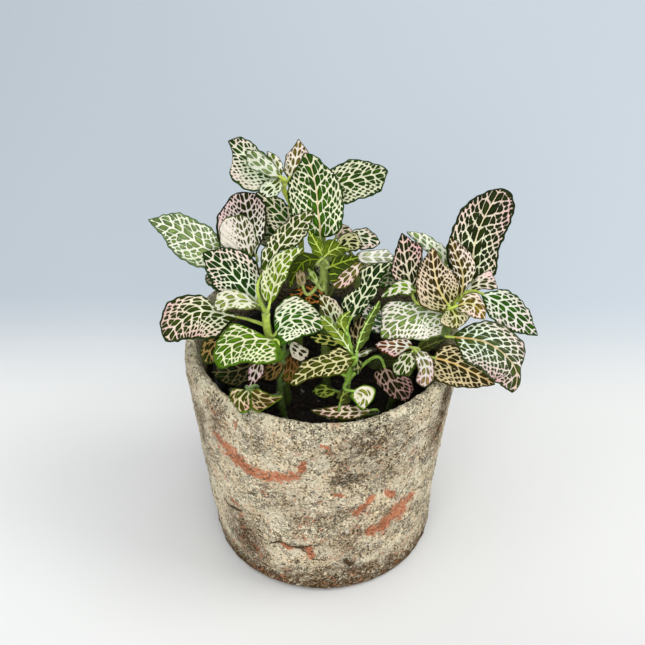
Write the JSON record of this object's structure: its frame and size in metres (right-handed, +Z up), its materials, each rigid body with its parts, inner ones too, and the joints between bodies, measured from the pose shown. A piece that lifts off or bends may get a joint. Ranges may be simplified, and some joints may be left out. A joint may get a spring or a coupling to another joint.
{
  "type": "potted nerve plant",
  "caption": "Small house plant with green leaves netted in cream and pink veins, growing in a rough sand-coloured clay pot with a black nursery pot inside.",
  "frame": {"origin": "centre of the clay pot's underside", "axes": "+Z up along the pot's axis; -Y towards the side seen in the picture; +X to the right in the picture"},
  "size_m": [0.1916, 0.1449, 0.2129],
  "materials": {
    "clay": "rough unglazed, sandy and speckled",
    "black_plastic": "thin matt nursery pot",
    "potting_soil": "dark crumbly potting soil",
    "stem_green": "soft hairy green stem",
    "leaf_green": "satin green with cream and pink net of veins",
    "leaf_pale": "satin, mostly cream or white between the veins"
  },
  "bodies": {
    "root": {"clay_pot": "clay", "nursery_pot": "black_plastic", "soil": "potting_soil", "stem_top_left": "stem_green", "stem_left_back": "stem_green", "stem_left": "stem_green", "stem_centre": "stem_green", "stem_centre_back": "stem_green", "stem_front": "stem_green", "stem_right": "stem_green", "stem_front_right": "stem_green", "stem_front_left": "stem_green", "stem_back": "stem_green", "leaf_top_left_outer": "leaf_green", "leaf_top_left_folded": "leaf_pale", "leaf_top_pointed": "leaf_green", "leaf_top_centre": "leaf_green", "leaf_top_right": "leaf_green", "leaf_left_back_pink": "leaf_green", "leaf_left_back_young": "leaf_pale", "leaf_far_left": "leaf_green", "leaf_back_dark": "leaf_green", "leaf_left_dark": "leaf_green", "leaf_left_long": "leaf_green", "leaf_left_bright": "leaf_green", "leaf_left_curled": "leaf_green", "leaf_left_low": "leaf_green", "leaf_front_left": "leaf_green", "leaf_front_centre_left": "leaf_green", "leaf_centre_turned_left": "leaf_green", "leaf_centre_turned_right": "leaf_green", "leaf_centre_pale": "leaf_pale", "leaf_centre_pink": "leaf_green", "leaf_centre_shaded": "leaf_green", "leaf_centre_right_dark": "leaf_green", "leaf_centre_upright": "leaf_green", "leaf_front_edge_on": "leaf_green", "leaf_front_cream": "leaf_pale", "leaf_right_peach": "leaf_green", "leaf_right_peach_back": "leaf_green", "leaf_right_tall_dark": "leaf_green", "leaf_right_young": "leaf_pale", "leaf_far_right": "leaf_green", "leaf_right_drooping": "leaf_green", "leaf_right_low_olive": "leaf_green", "leaf_right_pale": "leaf_pale", "leaf_right_back_dark": "leaf_green", "leaf_front_right_pink": "leaf_green", "leaf_front_right_green": "leaf_green", "leaf_front_right_white": "leaf_pale", "leaf_mouth_cream": "leaf_pale", "leaf_mouth_on_rim": "leaf_green", "leaf_mouth_dark": "leaf_green", "leaf_rear_top": "leaf_green", "leaf_rear_left": "leaf_green", "leaf_rear_right": "leaf_green", "leaf_rear_left_low": "leaf_green", "leaf_rear_right_low": "leaf_green", "leaf_rear_low": "leaf_green"}
  },
  "joints": []
}
